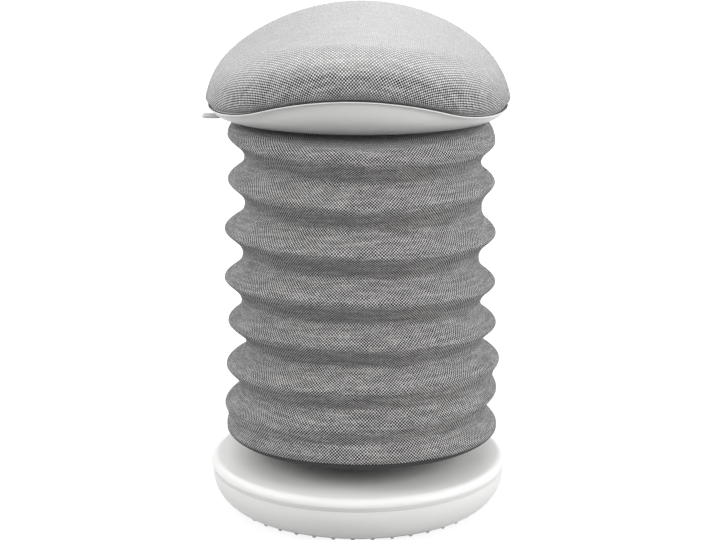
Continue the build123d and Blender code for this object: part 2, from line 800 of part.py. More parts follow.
# Steel seat plate on the floor of the shell
bolt_grid = 2 * seat_bolt_spread
with BuildPart() as seat_plate:
    with BuildSketch(Plane.XY.offset(plate_low_z)):
        RectangleRounded(2 * seat_plate_half, 2 * seat_plate_half, seat_plate_corner)
        Circle(socket_radius, mode=Mode.SUBTRACT)
        with GridLocations(bolt_grid, bolt_grid, 2, 2):
            Circle(bolt_radius + screw_clearance, mode=Mode.SUBTRACT)
    extrude(amount=seat_plate_thickness)
seat_plate.part.label = "seat_plate"
export_step(seat_plate.part, "parts/seat_plate.step")

# Bolts up through the shell's floor and the seat plate, and their nuts
seat_bolt_length = bolt_head_height + shell_wall + seat_plate_thickness + nut_height + bolt_end
with BuildPart() as seat_bolts:
    with GridLocations(bolt_grid, bolt_grid, 2, 2):
        with Locations((0, 0, shell_floor_z - bolt_head_height)):
            Cylinder(bolt_head_radius, bolt_head_height, align=FROM_BOTTOM)
            Cylinder(bolt_radius, seat_bolt_length, align=FROM_BOTTOM)
seat_bolts.part.label = "seat_bolts"
export_step(seat_bolts.part, "parts/seat_bolts.step")

with BuildPart() as seat_nuts:
    with BuildSketch(Plane.XY.offset(plate_high_z)):
        with GridLocations(bolt_grid, bolt_grid, 2, 2):
            RegularPolygon(nut_radius, 6)
            Circle(bolt_radius + screw_clearance, mode=Mode.SUBTRACT)
    extrude(amount=nut_height)
seat_nuts.part.label = "seat_nuts"
export_step(seat_nuts.part, "parts/seat_nuts.step")

# White seat shell: a dish whose rim follows the seat's bend, with four posts under the board
screw_sink = shell_screw_sink + small_head_height
hanger_hole = hanger_screw_grip + screw_end_room
with BuildPart() as seat_shell:
    add(shell_outside)
    add(shell_inside, mode=Mode.SUBTRACT)
    extrude(bend_region(0.0, 2 * cushion_thickness), amount=seat_reach, both=True, mode=Mode.SUBTRACT)
    add(shell_posts)
    with GridLocations(post_grid_x, post_grid_y, 2, 2):
        with Locations((0, 0, shell_floor_z)):
            Cylinder(
                small_screw_radius + screw_clearance,
                seat_rim_z - shell_floor_z,
                align=FROM_BOTTOM,
                mode=Mode.SUBTRACT,
            )
            Cylinder(small_head_radius + screw_clearance, screw_sink, align=FROM_BOTTOM, mode=Mode.SUBTRACT)
    with Locations((0, 0, shell_floor_z)):
        Cylinder(socket_radius + socket_clearance, shell_wall, align=FROM_BOTTOM, mode=Mode.SUBTRACT)
    with GridLocations(bolt_grid, bolt_grid, 2, 2):
        with Locations((0, 0, shell_floor_z)):
            Cylinder(bolt_radius + screw_clearance, shell_wall, align=FROM_BOTTOM, mode=Mode.SUBTRACT)
    with PolarLocations(hanger_screw_ring, hanger_screw_count):
        with Locations((0, 0, shell_floor_z)):
            Cylinder(small_screw_radius + screw_clearance, hanger_hole, align=FROM_BOTTOM, mode=Mode.SUBTRACT)
    with Locations((lever_notch_x, 0, shell_floor_z)):
        Box(
            seat_half_width,
            grip_width + 2 * notch_side_gap,
            notch_height,
            align=(Align.MAX, Align.CENTER, Align.MIN),
            mode=Mode.SUBTRACT,
        )
seat_shell.part.label = "seat_shell"
export_step(seat_shell.part, "parts/seat_shell.step")

# Screws up through the posts into the board
screw_low_z = shell_floor_z + shell_screw_sink
screw_tip_z = post_top_z + board_screw_grip
with BuildPart() as shell_screws:
    with GridLocations(post_grid_x, post_grid_y, 2, 2):
        with Locations((0, 0, screw_low_z)):
            Cylinder(small_head_radius, small_head_height, align=FROM_BOTTOM)
            Cylinder(small_screw_radius, screw_tip_z - screw_low_z, align=FROM_BOTTOM)
shell_screws.part.label = "shell_screws"
export_step(shell_screws.part, "parts/shell_screws.step")

# Bent plywood board inside the cushion
with BuildPart() as seat_board:
    add(board_blank)
    with GridLocations(post_grid_x, post_grid_y, 2, 2):
        with Locations((0, 0, screw_low_z)):
            Cylinder(
                small_screw_radius + screw_clearance,
                screw_tip_z + screw_end_room - screw_low_z,
                align=FROM_BOTTOM,
                mode=Mode.SUBTRACT,
            )
seat_board.part.label = "seat_board"
export_step(seat_board.part, "parts/seat_board.step")

# Foam on the board
with BuildPart() as seat_foam:
    add(cushion_core)
    add(board_blank, mode=Mode.SUBTRACT)
seat_foam.part.label = "seat_foam"
export_step(seat_foam.part, "parts/seat_foam.step")

# Woven cover: over the foam, round the edge and under the board
with BuildPart() as seat_cover:
    add(cushion_skin)
    add(cushion_core, mode=Mode.SUBTRACT)
    with BuildSketch(Plane.XY.offset(shell_floor_z)):
        Ellipse(board_half_width - cover_hem, board_half_depth - cover_hem)
    extrude(amount=seat_rim_z + 3 * cover_thickness - shell_floor_z, mode=Mode.SUBTRACT)
seat_cover.part.label = "seat_cover"
export_step(seat_cover.part, "parts/seat_cover.step")

# Release lever: a bent flat bar on a pivot, its inner end over the release pin
lever_line = (
    (lever_inner_end, lever_z),
    (lever_pivot_x - lever_flat_run, lever_z),
    (lever_tip_x + grip_length + lever_slope_run, lever_tip_z + lever_slope_rise),
    (lever_tip_x + grip_length, lever_tip_z),
    (lever_tip_x + grip_nose, lever_tip_z),
)
half_bar = lever_thickness / 2
with BuildPart() as release_lever:
    with BuildSketch(Plane.XZ):
        with BuildLine():
            upper = [(x, z + half_bar) for x, z in lever_line]
            lower = [(x, z - half_bar) for x, z in reversed(lever_line)]
            Polyline(*upper, *lower, close=True)
        make_face()
        with Locations((lever_pivot_x, lever_z)):
            Circle(lever_boss_radius)
            Circle(lever_pin_radius + running_clearance, mode=Mode.SUBTRACT)
    extrude(amount=lever_width / 2, both=True)
release_lever.part.label = "release_lever"
export_step(release_lever.part, "parts/release_lever.step")

# Moulded grip over the lever's end
with BuildPart() as lever_grip:
    with BuildSketch(Plane.XY.offset(lever_tip_z - grip_thickness / 2)):
        with Locations((lever_tip_x + grip_length / 2, 0)):
            RectangleRounded(grip_length, grip_width, grip_corner)
    extrude(amount=grip_thickness)
    fillet(lever_grip.edges().filter_by(Axis.Z, reverse=True), grip_edge)
    with Locations((lever_tip_x + grip_nose, 0, lever_tip_z)):
        Box(
            grip_length,
            lever_width,
            lever_thickness,
            align=(Align.MIN, Align.CENTER, Align.CENTER),
            mode=Mode.SUBTRACT,
        )
    with BuildSketch(Plane.XZ):
        with BuildLine():
            Polyline(*upper, *lower, close=True)
        make_face()
    extrude(amount=lever_width / 2, both=True, mode=Mode.SUBTRACT)
lever_grip.part.label = "lever_grip"
export_step(lever_grip.part, "parts/lever_grip.step")

# Bracket on the seat plate that carries the lever's pivot
ear_inside = lever_width / 2 + lever_side_gap
ear_outside = ear_inside + bracket_wall
bracket_x = lever_pivot_x + bracket_offset
with BuildPart() as lever_bracket:
    with Locations((bracket_x, 0, plate_high_z)):
        Box(2 * bracket_half_length, 2 * ear_outside, bracket_wall, align=FROM_BOTTOM)
    with BuildSketch(Plane.XZ):
        with BuildLine():
            Polyline(
                (lever_pivot_x - lever_boss_radius, lever_z),
                (bracket_x - bracket_half_length, plate_high_z),
                (bracket_x + bracket_half_length, plate_high_z),
                (lever_pivot_x + lever_boss_radius, lever_z),
                close=True,
            )
        make_face()
        with Locations((lever_pivot_x, lever_z)):
            Circle(lever_boss_radius)
            Circle(lever_pin_radius + running_clearance, mode=Mode.SUBTRACT)
    extrude(amount=ear_outside, both=True)
    with Locations((lever_pivot_x, 0, plate_high_z + bracket_wall)):
        Box(4 * bracket_half_length, 2 * ear_inside, notch_height, align=FROM_BOTTOM, mode=Mode.SUBTRACT)
lever_bracket.part.label = "lever_bracket"
export_step(lever_bracket.part, "parts/lever_bracket.step")

# Pivot pin with a head at one end
with BuildPart() as pivot_pin:
    with BuildSketch(Plane.XZ.offset(-ear_outside - pivot_head)):
        with Locations((lever_pivot_x, lever_z)):
            Circle(lever_pin_radius)
    extrude(amount=2 * ear_outside + pivot_head)
    with BuildSketch(Plane.XZ.offset(ear_outside)):
        with Locations((lever_pivot_x, lever_z)):
            Circle(lever_pin_radius + pivot_head)
    extrude(amount=pivot_head)
pivot_pin.part.label = "pivot_pin"
export_step(pivot_pin.part, "parts/pivot_pin.step")

# Bellows sleeve: hung from the shell by its flat top, hemmed at its open bottom
with BuildPart() as bellows_sleeve:
    add(sleeve_outside)
    add(sleeve_inside, mode=Mode.SUBTRACT)
    with Locations((0, 0, flange_low_z)):
        Cylinder(hanger_inner_radius, sleeve_thickness, align=FROM_BOTTOM, mode=Mode.SUBTRACT)
    with Locations((0, 0, sleeve_bottom_z)):
        Cylinder(sleeve_hem_radius, sleeve_thickness, align=FROM_BOTTOM, mode=Mode.SUBTRACT)
    with PolarLocations(hanger_screw_ring, hanger_screw_count):
        with Locations((0, 0, flange_low_z)):
            Cylinder(
                small_screw_radius + screw_clearance, sleeve_thickness, align=FROM_BOTTOM, mode=Mode.SUBTRACT
            )
bellows_sleeve.part.label = "bellows_sleeve"
export_step(bellows_sleeve.part, "parts/bellows_sleeve.step")

# Ring that clamps the sleeve's top to the shell, and its screws
with BuildPart() as hanger_ring:
    revolve(tube_section(hanger_outer_radius, hanger_inner_radius, hanger_low_z, flange_low_z), axis=Axis.Z)
    with PolarLocations(hanger_screw_ring, hanger_screw_count):
        with Locations((0, 0, hanger_low_z)):
            Cylinder(
                small_screw_radius + screw_clearance, hanger_thickness, align=FROM_BOTTOM, mode=Mode.SUBTRACT
            )
hanger_ring.part.label = "hanger_ring"
export_step(hanger_ring.part, "parts/hanger_ring.step")

with BuildPart() as hanger_screws:
    with PolarLocations(hanger_screw_ring, hanger_screw_count):
        with Locations((0, 0, hanger_low_z - small_head_height)):
            Cylinder(small_head_radius, small_head_height, align=FROM_BOTTOM)
            Cylinder(
                small_screw_radius,
                shell_floor_z + hanger_screw_grip - hanger_low_z + small_head_height,
                align=FROM_BOTTOM,
            )
hanger_screws.part.label = "hanger_screws"
export_step(hanger_screws.part, "parts/hanger_screws.step")

# Wire hoops that hold the bellows open, one in each ridge
hoop_rows = zip(hoop_levels, hoop_rises, hoop_leans, hoop_sways, ridge_radii)
for number, row in enumerate(hoop_rows, start=1):
    hoop_radius = row[-1] - sleeve_thickness - hoop_clearance - hoop_tube_radius
    with BuildPart(tilted(*row)) as bellows_hoop:
        Torus(hoop_radius, hoop_tube_radius)
    bellows_hoop.part.label = f"bellows_hoop_{number}"
    export_step(bellows_hoop.part, f"parts/bellows_hoop_{number}.step")
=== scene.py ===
"""Looks of a height-adjustable office stool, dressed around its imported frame.

Everything is in metres, +Z up, with the column on the Z axis and the sitter facing -Y.
"""

import json
import logging
import math
from dataclasses import dataclass, field
from enum import Enum

import bpy
import numpy as np
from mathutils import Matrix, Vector


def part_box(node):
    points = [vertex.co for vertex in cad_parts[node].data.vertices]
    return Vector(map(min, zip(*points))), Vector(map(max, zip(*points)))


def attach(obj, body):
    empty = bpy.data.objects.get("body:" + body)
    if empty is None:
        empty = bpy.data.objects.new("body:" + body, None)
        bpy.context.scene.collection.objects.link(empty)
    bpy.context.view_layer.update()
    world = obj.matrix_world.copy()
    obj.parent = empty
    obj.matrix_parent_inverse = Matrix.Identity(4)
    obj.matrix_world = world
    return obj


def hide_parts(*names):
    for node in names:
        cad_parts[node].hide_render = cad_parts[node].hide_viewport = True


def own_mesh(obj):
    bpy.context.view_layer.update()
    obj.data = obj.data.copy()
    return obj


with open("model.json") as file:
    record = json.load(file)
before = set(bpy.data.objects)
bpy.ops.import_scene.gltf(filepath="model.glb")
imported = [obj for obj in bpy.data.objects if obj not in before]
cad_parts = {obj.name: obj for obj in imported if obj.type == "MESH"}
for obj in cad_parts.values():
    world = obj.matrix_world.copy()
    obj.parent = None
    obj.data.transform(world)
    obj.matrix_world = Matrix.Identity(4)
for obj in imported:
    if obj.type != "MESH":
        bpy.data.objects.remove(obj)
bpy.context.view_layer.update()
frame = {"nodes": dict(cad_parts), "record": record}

LOG = logging.getLogger("stool")
MM = 0.001
CLOTH_MAP = "cloth"
TINY = 1e-6
TINY_SQUARE = 1e-9


class Slot(Enum):
    """Material slots of the stool's record."""

    UPHOLSTERY = "upholstery"
    KNIT = "knit"
    WHITE_PLASTIC = "white_plastic"
    GREY_RUBBER = "grey_rubber"
    BLACK_STEEL = "black_steel"
    BRIGHT_STEEL = "bright_steel"
    ZINC_STEEL = "zinc_steel"
    BLACK_PLASTIC = "black_plastic"
    GREY_PLASTIC = "grey_plastic"
    BLACK_RUBBER = "black_rubber"
    FOAM = "foam"
    PLYWOOD = "plywood"
    IRON = "iron"


class Body(Enum):
    """Moving bodies that pieces of the scene ride on."""

    SEAT = "seat"


class Signal:
    """A shader socket that takes part in Python arithmetic."""

    def __init__(self, sheet: "NodeSheet", socket: bpy.types.NodeSocket) -> None:
        """Wrap an output socket of a node sheet."""
        self.sheet = sheet
        self.socket = socket

    def math(self, operation: str, *others: "Signal | float", swapped: bool = False) -> "Signal":
        """Add one Math node.

        Args:
            operation: Blender's name of the operation.
            others: Further operands.
            swapped: Whether this signal is the second operand.

        Returns:
            The node's result.
        """
        operands = [*others, self] if swapped else [self, *others]
        inputs = dict(enumerate(operands))
        return self.sheet.signal("ShaderNodeMath", {"operation": operation}, inputs)

    def __add__(self, other: "Signal | float") -> "Signal":
        """Sum."""
        return self.math("ADD", other)

    __radd__ = __add__

    def __sub__(self, other: "Signal | float") -> "Signal":
        """Difference."""
        return self.math("SUBTRACT", other)

    def __rsub__(self, other: float) -> "Signal":
        """Difference from a number."""
        return self.math("SUBTRACT", other, swapped=True)

    def __mul__(self, other: "Signal | float") -> "Signal":
        """Product."""
        return self.math("MULTIPLY", other)

    __rmul__ = __mul__

    def __truediv__(self, other: "Signal | float") -> "Signal":
        """Quotient."""
        return self.math("DIVIDE", other)

    def __rtruediv__(self, other: float) -> "Signal":
        """A number divided by this signal."""
        return self.math("DIVIDE", other, swapped=True)

    def __mod__(self, other: float) -> "Signal":
        """Remainder that is never negative."""
        return self.math("FLOORED_MODULO", other)

    def floor(self) -> "Signal":
        """Whole part."""
        return self.math("FLOOR")

    def fract(self) -> "Signal":
        """Part after the point."""
        return self.math("FRACT")

    def sine(self) -> "Signal":
        """Sine of an angle in radians."""
        return self.math("SINE")

    def clamp(self) -> "Signal":
        """Limit to the range from 0 to 1."""
        return self.math("MINIMUM", 1.0).math("MAXIMUM", 0.0)

    def between(self, low: float, high: float) -> "Signal":
        """Share of the way from one value to another, from 0 to 1."""
        return ((self - low) / (high - low)).clamp()


class NodeSheet:
    """The node tree of one material or world, filled in by expressions."""

    def __init__(self, name: str, world: bool = False) -> None:
        """Start an empty material, or an empty world, of that name."""
        self.owner = bpy.data.worlds.new(name) if world else bpy.data.materials.new(name)
        self.owner.use_nodes = True
        self.tree = self.owner.node_tree
        self.tree.nodes.clear()

    def node(self, kind: str, settings: dict | None = None, inputs: dict | None = None) -> bpy.types.Node:
        """Add one node.

        Args:
            kind: Blender's type of the node.
            settings: Attributes of the node.
            inputs: Values or signals by the socket's name or place.

        Returns:
            The new node.
        """
        made = self.tree.nodes.new(kind)
        for key, value in (settings or {}).items():
            setattr(made, key, value)
        for key, value in (inputs or {}).items():
            socket = made.inputs[key]
            if isinstance(value, Signal):
                self.tree.links.new(value.socket, socket)
            else:
                socket.default_value = value
        return made

    def signal(
        self, kind: str, settings: dict | None = None, inputs: dict | None = None, output: int | str = 0
    ) -> Signal:
        """Add one node and return one of its outputs."""
        return Signal(self, self.node(kind, settings, inputs).outputs[output])

    def position(self) -> Signal:
        """Place on the object at rest, in metres."""
        return self.signal("ShaderNodeTexCoord", output="Object")

    def seen(self) -> Signal:
        """One for what the camera sees, also in or through another surface, and zero for light."""
        path = self.node("ShaderNodeLightPath")
        camera, glossy, through = (
            Signal(self, path.outputs[f"Is {kind} Ray"]) for kind in ("Camera", "Glossy", "Transmission")
        )
        return camera.math("MAXIMUM", glossy).math("MAXIMUM", through)

    def cloth_place(self) -> tuple[Signal, Signal]:
        """Place on the cut cloth, in metres across and along it."""
        place = self.signal("ShaderNodeUVMap", {"uv_map": CLOTH_MAP})
        parts = self.node("ShaderNodeSeparateXYZ", inputs={0: place})
        return Signal(self, parts.outputs[0]), Signal(self, parts.outputs[1])

    def vector(self, x: Signal, y: Signal) -> Signal:
        """Vector of two values, with a third of zero."""
        return self.signal("ShaderNodeCombineXYZ", inputs={0: x, 1: y, 2: 0.0})

    def noise(self, place: Signal, scale: float, detail: float = 3.0, roughness: float = 0.5) -> Signal:
        """Smooth noise from 0 to 1."""
        inputs = {"Vector": place, "Scale": scale, "Detail": detail, "Roughness": roughness}
        return self.signal("ShaderNodeTexNoise", inputs=inputs)

    def chance(self, place: Signal) -> Signal:
        """Random value that is the same all over one cell."""
        return self.signal("ShaderNodeTexWhiteNoise", {"noise_dimensions": "3D"}, {"Vector": place})

    def mix(self, share: "Signal | float", low: "Signal | tuple", high: "Signal | tuple") -> Signal:
        """Mix two colours.

        Args:
            share: How much of the second colour shows.
            low: Colour at a share of 0.
            high: Colour at a share of 1.

        Returns:
            The mixed colour.
        """
        ends = [(*c, 1.0) if isinstance(c, tuple) else c for c in (low, high)]
        settings = {"data_type": "RGBA", "clamp_factor": True}
        return self.signal("ShaderNodeMix", settings, {0: share, 6: ends[0], 7: ends[1]}, output=2)

    def bump(self, height: Signal, distance: float) -> Signal:
        """Surface direction over a height, whose full range stands the given distance proud."""
        inputs = {"Height": height, "Distance": distance, "Strength": 1.0}
        return self.signal("ShaderNodeBump", inputs=inputs, output="Normal")

    def dress(self, **inputs: "Signal | float | tuple") -> bpy.types.Material:
        """Close the sheet with one shader.

        Args:
            inputs: Values or signals by the shader's socket names, with _ for each space.

        Returns:
            The finished material.
        """
        named = {key.replace("_", " "): value for key, value in inputs.items()}
        shader = self.signal("ShaderNodeBsdfPrincipled", inputs=named)
        self.node("ShaderNodeOutputMaterial", inputs={"Surface": shader})
        return self.owner


def grey(value: float) -> tuple[float, float, float]:
    """Neutral colour of the given lightness."""
    return (value, value, value)


@dataclass(frozen=True)
class Melange:
    """Woven or knitted cloth of light and dark yarns, mapped in metres of cloth.

    Scales count the waves of a noise in a metre of cloth.
    """

    name: str
    across: float
    along: float
    light: tuple[float, float, float]
    dark: tuple[float, float, float]
    relief: float
    sheen: float = 0.3
    sheen_spread: float = 0.25
    streak: float = 0.35
    wander: float = 2.4 * MM
    # Painted sheen: a paler ground on up-facing cloth, standing in for the sheen and top light on a seat.
    painted_top_sheen: tuple[float, float, float] | None = None
    sheen_paint_start: float = 0.15
    sheen_paint_gain: float = 2.2
    drift_scale: float = 55.0
    slip_scale: float = 70.0
    streak_scales: tuple[float, float] = (26.0, 230.0)
    fuzz_scale: float = 2600.0
    fuzz_share: float = 0.15
    over_tone: float = 0.82
    yarn_tone: float = 0.26
    tone_drop: float = 0.10
    under_height: float = 0.55
    groove_shade_gain: float = 4.0
    roughness: float = 0.95
    polish: float = 0.12
    specular: float = 0.25

    def ground(self, sheet: NodeSheet) -> "Signal | tuple":
        """Colour between the light yarns, painted paler where the surface faces up: a painted sheen on a
        seat's top.

        Args:
            sheet: Sheet that the nodes go on.

        Returns:
            One colour, or a colour that varies with the way the surface faces.
        """
        if self.painted_top_sheen is None:
            return self.dark
        way = sheet.signal("ShaderNodeTexCoord", output="Normal")
        parts = sheet.node("ShaderNodeSeparateXYZ", inputs={0: way})
        upward = Signal(sheet, parts.outputs[2])
        return sheet.mix(((upward - self.sheen_paint_start) * self.sheen_paint_gain).clamp(), self.dark, self.painted_top_sheen)

    def build(self) -> bpy.types.Material:
        """Make the cloth's material.

        Returns:
            A matt cloth whose yarns rise and fall in a lattice.
        """
        sheet = NodeSheet(self.name)
        u, v = sheet.cloth_place()
        drift = sheet.noise(sheet.vector(u, v), self.drift_scale, detail=1.0) - 0.5
        slip = sheet.noise(sheet.vector(v, u), self.slip_scale, detail=1.0) - 0.5
        column = (u + drift * self.wander) / self.across
        row = (v + slip * self.wander) / self.along
        column_id = column.floor()
        row_id = row.floor()
        over = (column_id + row_id) % 2.0
        arch = (column.fract() * math.pi).sine() * (row.fract() * math.pi).sine()
        height = arch * (over * (1 - self.under_height) + self.under_height)
        yarn = sheet.chance(sheet.vector(column_id, row_id))
        wide, long = self.streak_scales
        streaks = sheet.noise(sheet.vector(u * wide, v * long), 1.0, detail=3.0)
        streaking = (streaks - 0.5) * self.streak
        tone = over * self.over_tone + yarn * self.yarn_tone + streaking - self.tone_drop
        ground = self.ground(sheet)
        yarn_colour = sheet.mix(tone.clamp(), ground, self.light)
        # Painted shade: towards each yarn cell's edge the colour goes to the dark ground, shade in the
        # grooves on top of the cloth's real dark yarns.
        colour = sheet.mix((arch * self.groove_shade_gain).clamp(), ground, yarn_colour)
        fuzz = sheet.noise(sheet.vector(u, v), self.fuzz_scale, detail=2.0)
        return sheet.dress(
            Base_Color=colour,
            Roughness=self.roughness - height * self.polish,
            Specular_IOR_Level=self.specular,
            Sheen_Weight=self.sheen,
            Sheen_Roughness=self.sheen_spread,
            Normal=sheet.bump(height * (1 - self.fuzz_share) + fuzz * self.fuzz_share, self.relief),
        )


@dataclass(frozen=True)
class Moulding:
    """Injection-moulded plastic with a fine spark-eroded grain."""

    name: str
    colour: tuple[float, float, float]
    shade: tuple[float, float, float]
    roughness: float = 0.36
    grain: float = 0.02 * MM
    coat: float = 0.0
    cloud_scale: float = 9.0
    fine_scale: float = 1800.0
    rub_scale: float = 60.0
    cloud_share: float = 0.7
    rub_gloss: float = 0.12
    fine_gloss: float = 0.06

    def build(self) -> bpy.types.Material:
        """Make the plastic's material.

        Returns:
            A satin plastic with faint clouding and grain.
        """
        sheet = NodeSheet(self.name)
        place = sheet.position()
        cloud = sheet.noise(place, self.cloud_scale, detail=4.0)
        fine = sheet.noise(place, self.fine_scale, detail=2.0)
        rub = sheet.noise(place, self.rub_scale, detail=5.0, roughness=0.65)
        tone = cloud * self.cloud_share + rub * (1 - self.cloud_share)
        return sheet.dress(
            Base_Color=sheet.mix(tone.clamp(), self.shade, self.colour),
            Roughness=self.roughness + (rub - 0.5) * self.rub_gloss + (fine - 0.5) * self.fine_gloss,
            Coat_Weight=self.coat,
            Normal=sheet.bump(fine, self.grain),
        )


@dataclass(frozen=True)
class Metal:
    """Steel or iron that is painted, plated, ground or cast."""

    name: str
    colour: tuple[float, float, float]
    shade: tuple[float, float, float]
    metallic: float = 1.0
    roughness: float = 0.3
    grain: float = 0.01 * MM
    scale: float = 300.0
    bloom_scale: float = 35.0
    scratch_gloss: float = 0.2
    bloom_gloss: float = 0.12

    def build(self) -> bpy.types.Material:
        """Make the metal's material.

        Returns:
            A metal with fine scratches and a faint bloom.
        """
        sheet = NodeSheet(self.name)
        place = sheet.position()
        scratch = sheet.noise(place, self.scale, detail=4.0, roughness=0.6)
        bloom = sheet.noise(place, self.bloom_scale, detail=4.0)
        gloss = (scratch - 0.5) * self.scratch_gloss + (bloom - 0.5) * self.bloom_gloss
        return sheet.dress(
            Base_Color=sheet.mix(((scratch + bloom) * 0.5).clamp(), self.shade, self.colour),
            Metallic=self.metallic,
            Roughness=(self.roughness + gloss).clamp(),
            Normal=sheet.bump(scratch, self.grain),
        )


@dataclass(frozen=True)
class Rubber:
    """Matt moulded rubber."""

    name: str
    colour: tuple[float, float, float]
    shade: tuple[float, float, float]
    roughness: float = 0.72
    dust_scale: float = 45.0
    pit_scale: float = 900.0
    dust_share: float = 0.7
    dust_gloss: float = 0.2
    pit_depth: float = 0.05 * MM

    def build(self) -> bpy.types.Material:
        """Make the rubber's material.

        Returns:
            A matt rubber with a dusty, pitted surface.
        """
        sheet = NodeSheet(self.name)
        place = sheet.position()
        dust = sheet.noise(place, self.dust_scale, detail=5.0, roughness=0.6)
        pits = sheet.noise(place, self.pit_scale, detail=3.0)
        tone = dust * self.dust_share + pits * (1 - self.dust_share)
        return sheet.dress(
            Base_Color=sheet.mix(tone.clamp(), self.shade, self.colour),
            Roughness=self.roughness + (dust - 0.5) * self.dust_gloss,
            Normal=sheet.bump(pits, self.pit_depth),
        )


@dataclass(frozen=True)
class Foam:
    """Open-cell cushion foam."""

    name: str = "cushion_foam"
    cell: float = 1.4 * MM
    wall: tuple[float, float, float] = (0.86, 0.80, 0.60)
    hollow_shade: tuple[float, float, float] = (0.58, 0.51, 0.33)
    hollow_shade_gain: float = 1.4
    depth: float = 0.5 * MM
    roughness: float = 0.9
    polish: float = 0.1

    def build(self) -> bpy.types.Material:
        """Make the foam's material.

        Returns:
            A pale foam with small open cells, with painted shade in their hollows.
        """
        sheet = NodeSheet(self.name)
        settings = {"feature": "F1"}
        inputs = {"Vector": sheet.position(), "Scale": 1.0 / self.cell}
        cells = sheet.signal("ShaderNodeTexVoronoi", settings, inputs, output="Distance")
        return sheet.dress(
            # Painted shade: the colour darkens from the cell walls into the hollows.
            Base_Color=sheet.mix((cells * self.hollow_shade_gain).clamp(), self.wall, self.hollow_shade),
            Roughness=self.roughness - cells * self.polish,
            Normal=sheet.bump(1.0 - cells, self.depth),
        )


@dataclass(frozen=True)
class Plywood:
    """Bent birch plywood."""

    name: str = "birch_plywood"
    ring: float = 9.0 * MM
    ring_drift: float = 50.0 * MM
    drift_scale: float = 6.0
    fibre_scales: tuple[float, float] = (40.0, 1500.0)
    ring_share: float = 0.45
    early: tuple[float, float, float] = (0.48, 0.33, 0.19)
    late: tuple[float, float, float] = (0.72, 0.56, 0.38)
    roughness: float = 0.6
    fibre_gloss: float = 0.2
    fibre_height: float = 0.08 * MM

    def build(self) -> bpy.types.Material:
        """Make the plywood's material.

        Returns:
            A sanded wood with long grain from side to side.
        """
        sheet = NodeSheet(self.name)
        place = sheet.position()
        drift = sheet.noise(place, self.drift_scale, detail=3.0)
        parts = sheet.node("ShaderNodeSeparateXYZ", inputs={0: place})
        x, y = (Signal(sheet, parts.outputs[k]) for k in (0, 1))
        grain = ((y + drift * self.ring_drift) / self.ring).fract()
        slow, fast = self.fibre_scales
        fibre = sheet.noise(sheet.vector(x * slow, y * fast), 1.0, detail=3.0)
        tone = grain * self.ring_share + fibre * (1 - self.ring_share)
        return sheet.dress(
            Base_Color=sheet.mix(tone.clamp(), self.early, self.late),
            Roughness=self.roughness + (fibre - 0.5) * self.fibre_gloss,
            Normal=sheet.bump(fibre, self.fibre_height),
        )


FINISHES = {
    Slot.UPHOLSTERY: Melange(
        name="seat_weave",
        across=2.1 * MM,
        along=2.1 * MM,
        light=grey(0.95),
        dark=grey(0.008),
        # Painted sheen: the cushion's ground is painted paler where it faces up.
        painted_top_sheen=grey(0.26),
        relief=0.7 * MM,
        sheen=0.65,
        sheen_spread=0.3,
        streak=0.7,
        wander=1.0 * MM,
    ),
    Slot.KNIT: Melange(
        name="bellows_knit",
        across=1.9 * MM,
        along=1.9 * MM,
        light=grey(0.77),
        dark=grey(0.003),
        relief=0.7 * MM,
        sheen=0.10,
        streak=0.8,
    ),
    Slot.WHITE_PLASTIC: Moulding(
        "white_moulding", (0.81, 0.81, 0.80), (0.77, 0.77, 0.76), roughness=0.42, coat=0.05
    ),
    Slot.GREY_RUBBER: Rubber("pale_sole_rubber", (0.74, 0.74, 0.73), (0.62, 0.62, 0.61)),
    Slot.BLACK_STEEL: Metal(
        "black_paint", grey(0.030), grey(0.018), metallic=0.0, roughness=0.38, scale=900.0
    ),
    Slot.BRIGHT_STEEL: Metal("ground_steel", (0.76, 0.76, 0.77), (0.62, 0.62, 0.64), roughness=0.16),
    Slot.ZINC_STEEL: Metal("zinc_plate", (0.60, 0.61, 0.60), (0.46, 0.47, 0.48), roughness=0.36),
    Slot.BLACK_PLASTIC: Moulding(
        "black_moulding", grey(0.038), grey(0.026), roughness=0.5, grain=0.04 * MM
    ),
    Slot.GREY_PLASTIC: Moulding("grey_moulding", (0.64, 0.64, 0.63), (0.57, 0.57, 0.56), roughness=0.42),
    Slot.BLACK_RUBBER: Rubber("black_rubber", grey(0.036), grey(0.022)),
    Slot.FOAM: Foam(),
    Slot.PLYWOOD: Plywood(),
    Slot.IRON: Metal(
        "cast_iron",
        (0.11, 0.11, 0.12),
        (0.05, 0.05, 0.055),
        metallic=0.6,
        roughness=0.7,
        grain=0.25 * MM,
        scale=260.0,
    ),
}


class Workshop:
    """Makes each finish once and dresses pieces and nodes with it."""

    def __init__(self) -> None:
        """Start with no materials made."""
        self.made: dict[Slot, bpy.types.Material] = {}

    def material(self, slot: Slot) -> bpy.types.Material:
        """Material of a slot, made on first use."""
        if slot not in self.made:
            self.made[slot] = FINISHES[slot].build()
        return self.made[slot]

    def dress(self, piece: bpy.types.Object, slot: Slot) -> None:
        """Give a piece one material and name its slot."""
        piece.data.materials.clear()
        piece.data.materials.append(self.material(slot))

    def dress_nodes(self) -> None:
        """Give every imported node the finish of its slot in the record."""
        for row in frame["record"]["subparts"]:
            piece = frame["nodes"][row["node"]]
            self.dress(piece, Slot(row["material_slot"]))


